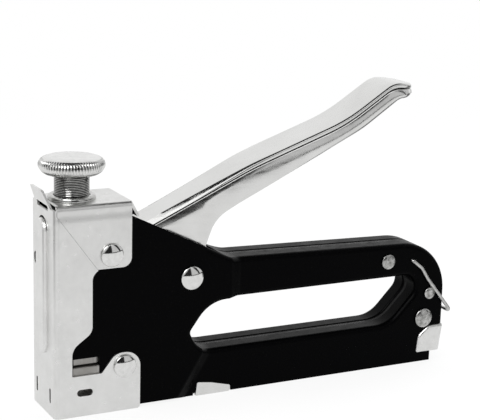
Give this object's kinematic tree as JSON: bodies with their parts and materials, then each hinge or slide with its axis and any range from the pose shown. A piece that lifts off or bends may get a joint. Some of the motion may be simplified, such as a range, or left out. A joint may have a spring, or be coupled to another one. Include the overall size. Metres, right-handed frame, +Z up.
{
  "type": "staple gun",
  "caption": "Hand staple gun with a pressed two-half body, plated nose, sprung squeeze handle, power adjusting knob, wire bail and rear-loading staple magazine.",
  "frame": {"origin": "in the middle plane, at the nose's lower front edge: X = 0 is the nose's front sheet, Z = 0 the nose's lower edge, the face that is pressed on the work", "axes": "+X from the nose towards the heel along the magazine, +Y across to the tool's left side seen from behind the handle with the nose ahead, +Z up through the power knob"},
  "size_m": [0.2023, 0.0326, 0.1335],
  "materials": {
    "black_enamel": "gloss",
    "nickel_plate": "bright",
    "zinc_plate": "satin",
    "spring_steel": "oiled",
    "hard_steel": "ground",
    "bumper_rubber": "matte"
  },
  "bodies": {
    "body": {"body_shell_left": "black_enamel", "body_shell_right": "black_enamel", "nose_cover": "nickel_plate", "top_cap": "nickel_plate", "threaded_bush": "nickel_plate", "nose_guide": "zinc_plate", "striker_bumper": "bumper_rubber", "pivot_sleeve": "hard_steel", "pivot_washers": "hard_steel", "magazine_channel": "zinc_plate", "staple_rail": "zinc_plate", "saddle_clip": "nickel_plate", "cap_rivet": "nickel_plate", "cap_spacer": "nickel_plate", "nose_rivet": "nickel_plate", "nose_spacer": "nickel_plate", "pivot_rivet": "nickel_plate", "grip_rivet": "nickel_plate", "grip_spacer": "nickel_plate", "small_rivet": "nickel_plate", "small_spacer": "nickel_plate", "rear_rivet": "nickel_plate", "rear_spacer": "nickel_plate"},
    "lever": {"handle": "nickel_plate", "lift_arm": "hard_steel", "return_spring": "spring_steel"},
    "hammer": {"striker": "hard_steel", "driver_blade": "hard_steel", "main_spring": "spring_steel"},
    "seat": {"spring_seat": "hard_steel"},
    "knob": {"adjusting_knob": "nickel_plate"},
    "wire_bail": {"bail": "zinc_plate"},
    "loader": {"end_cap": "nickel_plate", "guide_rod": "zinc_plate"},
    "pusher": {"follower": "zinc_plate", "follower_spring": "spring_steel"}
  },
  "joints": [
    {"name": "handle_squeeze", "type": "hinge", "parent": "body", "child": "lever", "pos_m": [0.062, 0, 0.0548], "axis": [0, 1, 0], "range_deg": [0, 24], "stiffness_Nm_per_rad": 1.2, "springref_deg": -14.32},
    {"name": "striker_slide", "type": "slide", "parent": "body", "child": "hammer", "axis": [0, 0, 1], "range_m": [0, 0.0158], "deforming": ["main_spring"]},
    {"name": "seat_slide", "type": "slide", "parent": "body", "child": "seat", "axis": [0, 0, -1], "range_m": [-0.002, 0.007]},
    {"name": "knob_turn", "type": "hinge", "parent": "seat", "child": "knob", "pos_m": [0.0127, 0, 0.1], "axis": [0, 0, -1], "range_deg": [-720, 2520]},
    {"name": "bail_swing", "type": "hinge", "parent": "body", "child": "wire_bail", "pos_m": [0.1756, 0, 0.0502], "axis": [0, -1, 0], "range_deg": [0, 95]},
    {"name": "loader_slide", "type": "slide", "parent": "body", "child": "loader", "axis": [1, 0, 0], "range_m": [0, 0.1]},
    {"name": "pusher_slide", "type": "slide", "parent": "loader", "child": "pusher", "axis": [1, 0, 0], "range_m": [0, 0.11], "stiffness_N_per_m": 12, "springref_m": -0.05, "deforming": ["follower_spring"]}
  ],
  "couplings": [
    {"joint": "striker_slide", "follows": "handle_squeeze", "m_per_rad": 0.0377},
    {"joint": "seat_slide", "follows": "knob_turn", "m_per_rad": 0.00015915}
  ]
}
